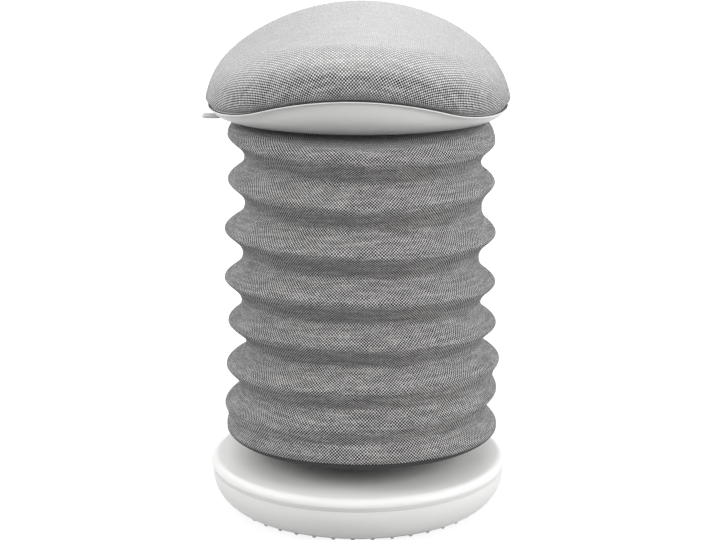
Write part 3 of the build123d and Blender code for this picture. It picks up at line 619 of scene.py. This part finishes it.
def ring_mesh(name: str, rings: np.ndarray, cloth: np.ndarray | None = None) -> bpy.types.Object:
    """Skin closed rings of points into one smooth mesh.

    Args:
        name: Name of the piece.
        rings: Points by ring, place round the ring, and axis.
        cloth: Places on the cut cloth by ring and place, with one more place than the ring has points.

    Returns:
        The piece, linked to the scene.
    """
    count, around = rings.shape[:2]
    ring = np.arange(count - 1)[:, None] * around
    here = np.arange(around)[None, :]
    there = (here + 1) % around
    corners = np.stack([ring + here, ring + there, ring + around + there, ring + around + here], axis=-1)
    mesh = bpy.data.meshes.new(name)
    mesh.from_pydata(rings.reshape(-1, 3).tolist(), [], corners.reshape(-1, 4).tolist())
    if cloth is not None:
        places = np.stack([cloth[:-1, :-1], cloth[:-1, 1:], cloth[1:, 1:], cloth[1:, :-1]], axis=2)
        layer = mesh.uv_layers.new(name=CLOTH_MAP)
        layer.data.foreach_set("uv", places.astype(np.float32).ravel())
    mesh.polygons.foreach_set("use_smooth", np.ones(len(mesh.polygons), bool))
    mesh.update()
    piece = bpy.data.objects.new(name, mesh)
    bpy.context.scene.collection.objects.link(piece)
    return piece


def path_lengths(points: np.ndarray) -> np.ndarray:
    """Distance run along each column of a grid of points, from its first row."""
    steps = np.linalg.norm(np.diff(points, axis=0), axis=-1)
    return np.concatenate([np.zeros((1, points.shape[1])), np.cumsum(steps, axis=0)])


def ripple(
    angle: np.ndarray,
    height: np.ndarray,
    seed: int,
    waves: int = 5,
    most_turns: int = 5,
    steepest: float = 1.4,
    weakest: float = 0.5,
) -> np.ndarray:
    """Slow, seeded unevenness of a round soft piece, from about -1 to 1.

    Args:
        angle: Angles round the column, in radians.
        height: Heights in units of one wave, of a shape that fits the angles.
        seed: Seed of the random draws.
        waves: How many waves are added up.
        most_turns: Most periods that a wave has round the column.
        steepest: Most radians that a wave climbs in one unit of height.
        weakest: Size of the smallest wave, where the largest is 1.

    Returns:
        The unevenness at each angle and height.
    """
    draw = np.random.default_rng(seed)
    total = np.zeros(np.broadcast(angle, height).shape)
    for _ in range(waves):
        turns = draw.integers(1, most_turns + 1)
        climb = draw.uniform(-steepest, steepest)
        phase = draw.uniform(0, 2 * math.pi)
        total += draw.uniform(weakest, 1.0) * np.sin(turns * angle + climb * height + phase)
    return total / (waves * (1 + weakest) / 2)


@dataclass(frozen=True)
class Drape:
    """How cloth falls from a hoop: how full its curve is and how round it goes over the wire."""

    above_power: float
    above_round: float
    below_power: float
    below_round: float


@dataclass
class Bellows:
    """Knitted sleeve that hangs from the seat over eight wire hoops.

    Sizes run from the lowest ridge or valley to the highest. Levels are shares of the sleeve's
    height, and the other sizes are in metres.
    """

    levels: tuple[float, ...] = (0.0226, 0.117, 0.230, 0.361, 0.4965, 0.657, 0.8175, 0.953)
    rises: tuple[float, ...] = (0.0, 0.0185, 0.0073, -0.0020, -0.0050, -0.0050, -0.0043, -0.0094)
    leans: tuple[float, ...] = (0.0, 0.0020, 0.0079, 0.0120, 0.0160, 0.0069, 0.0, 0.0)
    sways: tuple[float, ...] = (0.0046, 0.0033, 0.0059, 0.0051, 0.0023, 0.0026, 0.0041, 0.0041)
    ridges: tuple[float, ...] = (0.1653, 0.1663, 0.1669, 0.1632, 0.1645, 0.1641, 0.1607, 0.1605)
    left_depths: tuple[float, ...] = (0.0030, 0.0170, 0.0230, 0.0185, 0.0223, 0.0226, 0.0198)
    right_depths: tuple[float, ...] = (0.0120, 0.0065, 0.0180, 0.0186, 0.0204, 0.0165, 0.0170)
    lifts: tuple[float, ...] = (0.0060, 0.0060, 0.0060, 0.0055, 0.0050, 0.0045, 0.0020, 0.0050)
    side_drape: Drape = Drape(4.2, 0.0095, 2.25, 0.0024)
    front_drape: Drape = Drape(2.3, 0.0120, 2.0, 0.0130)
    crest_drop: float = 0.0008
    hem_radius: float = 0.127
    hem_width: float = 0.0115
    hem_turn: float = 0.0012
    hem_steps: int = 14
    flange_start: float = 0.6
    flange_steps: int = 4
    shoulder_radius: float = 0.146
    shoulder_steps: int = 12
    clamp_outer: float = 0.140
    clamp_inner: float = 0.059
    clamp_steps: int = 6
    keep: float = 0.7096
    around: int = 288
    steps: int = 30
    unevenness: float = 0.0005
    waviness: float = 0.0005
    waves_per_metre: float = 60.0
    ease_gain: float = 12.0
    radius_seed: int = 3
    height_seed: int = 8
    # Rows and rise of a black sheet of painted shade over the hem's underside.
    hem_shade_rows: tuple[int, int] = (4, 17)
    hem_shade_rise: float = 0.0004
    angle: np.ndarray = field(init=False)

    def __post_init__(self) -> None:
        """Lay out the angles round the column."""
        self.angle = np.linspace(0, 2 * math.pi, self.around, endpoint=False)

    @staticmethod
    def ring(*sizes: "np.ndarray | float") -> np.ndarray:
        """Radius, height and set-off by angle, from sizes that may be the same all round."""
        return np.stack(np.broadcast_arrays(*sizes))

    def ridge(self, k: int, low: float, high: float) -> np.ndarray:
        """One ridge of the cloth over its hoop.

        Args:
            k: Number of the ridge, from 0.
            low: Height of the sleeve's bottom.
            high: Height of the sleeve's top.

        Returns:
            Radius, height and set-off at each angle.
        """
        level = low + self.levels[k] * (high - low) - self.crest_drop
        height = level + self.rises[k] / 2 * np.cos(self.angle) - self.leans[k] / 2 * np.sin(self.angle)
        height = height + self.lifts[k] * np.clip(-np.sin(self.angle), 0, 1) ** 2
        return self.ring(self.ridges[k], height, self.sways[k])

    def drawn(self, share: float, pitch: np.ndarray) -> np.ndarray:
        """How far the cloth is drawn in, from 0 on a ridge to 1 in the valley.

        Args:
            share: Place from the lower ridge, 0, to the upper one, 1.
            pitch: Height between the two ridges at each angle.

        Returns:
            The share of the valley's depth at each angle.
        """
        facing = np.sin(self.angle) ** 2
        side, front = self.side_drape, self.front_drape
        if share < 0.5:
            power = side.above_power + (front.above_power - side.above_power) * facing
            edge = side.above_round + (front.above_round - side.above_round) * facing
        else:
            power = side.below_power + (front.below_power - side.below_power) * facing
            edge = side.below_round + (front.below_round - side.below_round) * facing
        near = min(share, 1 - share) * pitch
        rounded = (np.hypot(near, edge) - edge) / pitch
        return 1 - np.abs(1 - 2 * rounded) ** power

    def pleat(self, k: int, low: float, high: float) -> list[np.ndarray]:
        """Rings from one ridge up to just below the next.

        Args:
            k: Number of the lower ridge, from 0.
            low: Height of the sleeve's bottom.
            high: Height of the sleeve's top.

        Returns:
            Radius, height and set-off of each ring.
        """
        lower, upper = self.ridge(k, low, high), self.ridge(k + 1, low, high)
        middle = (self.left_depths[k] + self.right_depths[k]) / 2
        depth = middle + (self.right_depths[k] - self.left_depths[k]) / 2 * np.cos(self.angle)
        rings = []
        for turn in np.linspace(0, math.pi, self.steps, endpoint=False):
            share = 0.5 - 0.5 * math.cos(turn)
            ring = lower + (upper - lower) * share
            ring[0] -= depth * self.drawn(share, upper[1] - lower[1])
            rings.append(ring)
        return rings

    def profile(self) -> np.ndarray:
        """The cloth's outside, from the turned-in hem to the clamped top.

        Returns:
            Radius, height and set-off, by ring up the sleeve and by angle.
        """
        low, high = (corner.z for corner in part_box("bellows_sleeve"))
        first = self.ridge(0, low, high)
        last = self.ridge(len(self.levels) - 1, low, high)
        bottom = first[0] - self.hem_width
        rings = [self.ring(self.hem_radius, low + lift, first[2]) for lift in (self.hem_turn, 0.0)]
        for share in np.linspace(self.flange_start, 1, self.flange_steps):
            radius = self.hem_radius + (bottom - self.hem_radius) * share
            rings.append(self.ring(radius, low, first[2]))
        for turn in np.linspace(0, math.pi / 2, self.hem_steps, endpoint=False)[1:]:
            radius = bottom + self.hem_width * math.sin(turn)
            rings.append(self.ring(radius, first[1] - (first[1] - low) * math.cos(turn), first[2]))
        for k in range(len(self.levels) - 1):
            rings += self.pleat(k, low, high)
        for turn in np.linspace(0, math.pi / 2, self.shoulder_steps):
            radius = self.shoulder_radius + (last[0] - self.shoulder_radius) * math.cos(turn)
            rings.append(self.ring(radius, last[1] + (high - last[1]) * math.sin(turn), last[2]))
        clamp_width = self.clamp_outer - self.clamp_inner
        for radius in np.linspace(self.clamp_outer, self.clamp_inner, self.clamp_steps):
            rings.append(self.ring(radius, high, last[2] * (radius - self.clamp_inner) / clamp_width))
        return np.stack(rings, axis=1)

    def hem_shade(self, rings: np.ndarray) -> bpy.types.Object:
        """Dark sheet laid just proud of the hem's turned-under cloth: painted shade where the hem faces
        down.

        Args:
            rings: Points of the sleeve by ring and place.

        Returns:
            The tape.
        """
        first, last = self.hem_shade_rows
        out = np.stack([np.cos(self.angle), np.sin(self.angle), -np.ones_like(self.angle)], axis=-1)
        return ring_mesh("hem_painted_shade", rings[first:last] + self.hem_shade_rise * out)

    def build(self, workshop: Workshop) -> list[bpy.types.Object]:
        """Make the sleeve.

        Args:
            workshop: Where finishes come from.

        Returns:
            The sleeve and the painted shade on its hem.
        """
        radius, height, sway = self.profile()
        low, high = height.min(), height.max()
        share = (height - low) / (high - low)
        ease = np.clip(self.ease_gain * share * (1 - share), 0, 1)
        waves = height * self.waves_per_metre
        angle = self.angle[None, :]
        radius = radius - self.unevenness * ease * (1 + ripple(angle, waves, self.radius_seed)) / 2
        height = height + self.waviness * ease * ripple(angle, waves, self.height_seed)
        rings = np.stack([sway + radius * np.cos(self.angle), radius * np.sin(self.angle), height], axis=-1)
        run = path_lengths(rings)
        run = np.concatenate([run, run[:, :1]], axis=1)
        girth = 2 * math.pi * float(np.mean(self.ridges))
        across = np.linspace(0, girth, self.around + 1)
        cloth = np.stack([np.broadcast_to(across, run.shape), run], axis=-1)
        sleeve = ring_mesh("bellows", rings, cloth)
        workshop.dress(sleeve, Slot.KNIT)
        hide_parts("bellows_sleeve")
        # Painted shade: a black sheet over the hem's turned-under cloth.
        hem_shade = self.hem_shade(rings)
        workshop.dress(hem_shade, Slot.BLACK_RUBBER)
        for piece in (sleeve, hem_shade):
            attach(piece, Body.SEAT.value)
            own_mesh(piece)
        return [sleeve, hem_shade]


@dataclass
class Cushion:
    """Bent, crowned seat cushion in a tight woven cover."""

    half_width: float = 0.183
    half_depth: float = 0.177
    rim_z: float = 0.538
    rim_bend: float = 0.300
    rim_half: float = 0.110
    rim_flare: float = 0.262
    thickness: float = 0.0645
    top_bend: float = 0.300
    crown: float = 2.6
    crown_reach: float = 0.3
    under_slope: float = 0.93
    top_round: float = 0.034
    bottom_round: float = 0.014
    core_share: float = 0.42
    under_share: float = 0.62
    around: int = 256
    top_start: float = 0.004
    top_spread: float = 0.9
    top_steps: int = 56
    edge_steps: int = 44
    under_steps: int = 14
    cast_reach: float = 0.3
    cast_steps: int = 40

    def rim(self, x: np.ndarray) -> np.ndarray:
        """Line of the seat's rim, a hump between two flared sides.

        Args:
            x: Places from left to right.

        Returns:
            Height of the rim at each place.
        """
        turn = math.asin(self.rim_half / self.rim_bend)
        centre = self.rim_z - self.rim_bend
        reach = self.rim_bend + self.rim_flare
        side = np.abs(x)
        hump = centre + np.sqrt(np.maximum(self.rim_bend**2 - side**2, TINY_SQUARE))
        off = np.clip(side - reach * math.sin(turn), -self.rim_flare, self.rim_flare)
        dip = np.sqrt(np.maximum(self.rim_flare**2 - off**2, TINY_SQUARE))
        return np.where(side < self.rim_half, hump, centre + reach * math.cos(turn) - dip)

    def outside(self, point: np.ndarray) -> np.ndarray:
        """Signed distance, nearly, from the cushion's skin.

        Args:
            point: Points, with the axis last.

        Returns:
            Distances, negative inside.
        """
        x, y, z = point[..., 0], point[..., 1], point[..., 2]
        axis_z = self.rim_z + self.thickness - self.top_bend
        fall = self.crown - np.sqrt(self.crown**2 - np.minimum(np.abs(y), self.crown_reach) ** 2)
        top = np.hypot(x, z - axis_z) + fall - self.top_bend
        share = np.hypot(x / self.half_width, y / self.half_depth)
        slope = np.hypot(x / self.half_width**2, y / self.half_depth**2) / np.maximum(share, TINY)
        side = (share - 1) / np.maximum(slope, TINY)
        under = (self.rim(x) - z) * self.under_slope
        upper = self.round_over(top, side, self.top_round)
        lower = self.round_over(under, side, self.bottom_round)
        return np.maximum(upper, lower)

    @staticmethod
    def round_over(first: np.ndarray, second: np.ndarray, radius: float) -> np.ndarray:
        """Distance from the meeting of two bodies with its edge rounded over."""
        corner = np.hypot(np.maximum(first + radius, 0), np.maximum(second + radius, 0))
        return np.minimum(np.maximum(first, second), -radius) + corner

    def cast(self, start: np.ndarray, way: np.ndarray) -> np.ndarray:
        """Points where lines from inside the cushion leave it.

        Args:
            start: Points inside.
            way: Unit directions of the same shape.

        Returns:
            Points on the skin.
        """
        near = np.zeros(start.shape[:-1])
        far = np.full(start.shape[:-1], self.cast_reach)
        for _ in range(self.cast_steps):
            middle = (near + far) / 2
            inside = self.outside(start + way * middle[..., None]) < 0
            near = np.where(inside, middle, near)
            far = np.where(inside, far, middle)
        return start + way * near[..., None]

    def rings(self) -> np.ndarray:
        """Rings of the skin from the top's middle, over the edge and under.

        Returns:
            Points by ring, place round the ring, and axis.
        """
        angle = np.linspace(0, 2 * math.pi, self.around, endpoint=False)
        ray = np.stack([np.cos(angle), np.sin(angle)], axis=-1)
        rim = 1 / np.hypot(ray[:, 0] / self.half_width, ray[:, 1] / self.half_depth)
        inner = rim - self.top_round
        shares = np.linspace(self.top_start, 1, self.top_steps) ** self.top_spread
        flat = ray[None] * (inner[None] * shares[:, None])[..., None]
        middle = self.rim(flat[..., 0]) + self.core_share * self.thickness
        start = np.concatenate([flat, middle[..., None]], axis=-1)
        way = np.zeros_like(start)
        way[..., 2] = 1.0
        top = self.cast(start, way)
        bend = np.linspace(math.pi / 2, -math.pi / 2, self.edge_steps)[1:, None]
        rise = np.broadcast_to(np.sin(bend), (len(bend), self.around))
        way = np.concatenate([ray[None] * np.cos(bend)[..., None], rise[..., None]], axis=-1)
        edge = self.cast(np.broadcast_to(start[-1], way.shape), way)
        under_shares = np.linspace(1, self.under_share, self.under_steps)[1:]
        flat = ray[None] * (inner[None] * under_shares[:, None])[..., None]
        under = np.concatenate([flat, self.rim(flat[..., 0])[..., None]], axis=-1)
        return np.concatenate([top, edge, under])

    def build(self, workshop: Workshop) -> list[bpy.types.Object]:
        """Make the covered cushion.

        Args:
            workshop: Where finishes come from.

        Returns:
            The cushion alone.
        """
        rings = self.rings()
        run = path_lengths(rings) + np.linalg.norm(rings[0, :, :2], axis=-1)
        angle = np.linspace(0, 2 * math.pi, self.around + 1)
        run = np.concatenate([run, run[:, :1]], axis=1)
        cloth = np.stack([run * np.cos(angle), run * np.sin(angle)], axis=-1)
        cushion = ring_mesh("seat_cushion", rings, cloth)
        workshop.dress(cushion, Slot.UPHOLSTERY)
        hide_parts("seat_cover", "seat_foam")
        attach(cushion, Body.SEAT.value)
        return [cushion]


@dataclass(frozen=True)
class Bead:
    """A thin round edging that runs once round the seat."""

    name: str
    inset: float
    rise: float
    radius: float
    slot: Slot


@dataclass
class SeatEdge:
    """The shell's rolled white lip, and a black bead of painted shadow in the gap between it and the
    cushion's cover.
    """

    half_width: float = 0.1800
    half_depth: float = 0.1742
    around: int = 200
    bevel_steps: int = 4
    beads: tuple[Bead, ...] = (
        Bead("shell_lip", 0.0014, -0.0008, 0.0008, Slot.WHITE_PLASTIC),
        # A black bead that paints the shadow in the gap under the cover.
        Bead("painted_shadow_gap", 0.0022, 0.0006, 0.0007, Slot.BLACK_RUBBER),
    )

    def line(self, bead: Bead) -> np.ndarray:
        """Middle line of a bead, which follows the cushion's rim.

        Args:
            bead: The bead.

        Returns:
            Points along it, with a fourth weight of one.
        """
        angle = np.linspace(0, 2 * math.pi, self.around, endpoint=False)
        x = (self.half_width - bead.inset) * np.cos(angle)
        y = (self.half_depth - bead.inset) * np.sin(angle)
        return np.stack([x, y, Cushion().rim(x) + bead.rise, np.ones_like(x)], axis=-1)

    def build(self, workshop: Workshop) -> list[bpy.types.Object]:
        """Make the beads.

        Args:
            workshop: Where finishes come from.

        Returns:
            The lip and the bead of painted shadow.
        """
        made = []
        for bead in self.beads:
            data = bpy.data.curves.new(bead.name, "CURVE")
            data.dimensions = "3D"
            data.bevel_depth = bead.radius
            data.bevel_resolution = self.bevel_steps
            spline = data.splines.new("POLY")
            spline.points.add(self.around - 1)
            spline.points.foreach_set("co", self.line(bead).ravel())
            spline.use_cyclic_u = True
            piece = bpy.data.objects.new(bead.name, data)
            bpy.context.scene.collection.objects.link(piece)
            workshop.dress(piece, bead.slot)
            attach(piece, Body.SEAT.value)
            made.append(piece)
        return made


@dataclass(frozen=True)
class Lamp:
    """A soft square lamp, in metres and watts."""

    name: str
    place: tuple[float, float, float]
    size: float
    power: float


@dataclass
class Studio:
    """Camera at the photograph's angle, soft lights and a pale floor."""

    distance: float = 3.300
    height: float = 1.205
    azimuth: float = 2.3
    aim_z: float = 0.300
    lens: float = 141.84
    shift_y: float = -0.0077
    clip_end: float = 100.0
    floor_size: float = 12.0
    # Colour of a painted pool of light: the floor is paler round the stool.
    floor_pool_pale: float = 0.46
    floor_grey: float = 0.24
    floor_white: float = 1.36
    floor_share: float = 0.64
    floor_near: float = 0.28
    floor_far: float = 0.75
    pool_near: float = 0.20
    pool_far: float = 0.50
    world_strength: float = 0.38
    backdrop_strength: float = 1.0
    lamps: tuple[Lamp, ...] = (
        Lamp("front", (0.0, -2.8, 1.7), 1.6, 20.5),
        Lamp("overhead", (-0.2, -0.3, 2.6), 2.6, 21.0),
        Lamp("right_side", (2.4, -1.0, 1.25), 1.3, 42.0),
        Lamp("left_side", (-2.3, -0.8, 1.5), 1.4, 35.0),
        Lamp("right_back", (2.2, 1.2, 1.2), 1.2, 18.0),
        Lamp("left_back", (-1.8, 1.6, 1.8), 1.2, 14.0),
    )

    def aim(self, piece: bpy.types.Object) -> None:
        """Point a placed camera or lamp at the stool and link it to the scene."""
        look = Vector((0, 0, self.aim_z)) - piece.location
        piece.rotation_euler = look.to_track_quat("-Z", "Y").to_euler()
        bpy.context.scene.collection.objects.link(piece)

    def camera(self) -> None:
        """Place the camera."""
        data = bpy.data.cameras.new("view")
        data.lens = self.lens
        data.shift_y = self.shift_y
        data.clip_end = self.clip_end
        camera = bpy.data.objects.new("view", data)
        turn = math.radians(self.azimuth)
        camera.location = (self.distance * math.sin(turn), -self.distance * math.cos(turn), self.height)
        self.aim(camera)
        bpy.context.scene.camera = camera

    def hang(self, lamp: Lamp) -> None:
        """Hang one lamp."""
        data = bpy.data.lights.new(lamp.name, "AREA")
        data.size = lamp.size
        data.energy = lamp.power
        hung = bpy.data.objects.new(lamp.name, data)
        hung.location = lamp.place
        self.aim(hung)

    def world(self) -> None:
        """Light the room evenly, with a white backdrop behind."""
        sheet = NodeSheet("room", world=True)
        white = (*grey(1.0), 1.0)
        room, backdrop = (
            sheet.signal("ShaderNodeBackground", inputs={"Color": white, "Strength": strength})
            for strength in (self.world_strength, self.backdrop_strength)
        )
        both = sheet.signal("ShaderNodeMixShader", inputs={0: sheet.seen(), 1: room, 2: backdrop})
        sheet.node("ShaderNodeOutputWorld", inputs={"Surface": both})
        bpy.context.scene.world = sheet.owner

    def floor(self) -> None:
        """Lay a pale floor that fades into the backdrop, with a painted pool of light round the stool."""
        sheet = NodeSheet("pale_floor")
        place = sheet.position()
        distance = sheet.signal("ShaderNodeVectorMath", {"operation": "LENGTH"}, {0: place}, "Value")
        # Painted pool of light: the floor is paler round the stool and greyer farther off, throwing more
        # bounce onto the base.
        painted_pool_fade = distance.between(self.pool_near, self.pool_far)
        colour = sheet.mix(painted_pool_fade, grey(self.floor_pool_pale), grey(self.floor_grey))
        paint = sheet.signal("ShaderNodeBsdfDiffuse", inputs={"Color": colour})
        glow = sheet.signal("ShaderNodeEmission", inputs={"Strength": self.floor_white})
        away = distance.between(self.floor_near, self.floor_far)
        share = sheet.seen() * (self.floor_share + away * (1 - self.floor_share))
        both = sheet.signal("ShaderNodeMixShader", inputs={0: share, 1: paint, 2: glow})
        sheet.node("ShaderNodeOutputMaterial", inputs={"Surface": both})
        half = self.floor_size / 2
        mesh = bpy.data.meshes.new("floor")
        corners = [(-half, -half, 0), (half, -half, 0), (half, half, 0), (-half, half, 0)]
        mesh.from_pydata(corners, [], [(0, 1, 2, 3)])
        mesh.materials.append(sheet.owner)
        floor = bpy.data.objects.new("floor", mesh)
        bpy.context.scene.collection.objects.link(floor)

    def build(self) -> None:
        """Set up the whole studio."""
        self.camera()
        for lamp in self.lamps:
            self.hang(lamp)
        self.world()
        self.floor()
        bpy.context.scene.view_settings.view_transform = "Standard"


def main() -> None:
    """Dress the stool and set up its studio."""
    logging.basicConfig(level=logging.INFO, format="%(name)s: %(message)s")
    workshop = Workshop()
    workshop.dress_nodes()
    LOG.info("dressed %d nodes", len(frame["nodes"]))
    for assembly in (Bellows(), Cushion(), SeatEdge()):
        for piece in assembly.build(workshop):
            LOG.info("made %s", piece.name)
    Studio().build()


if __name__ == "__main__":
    main()
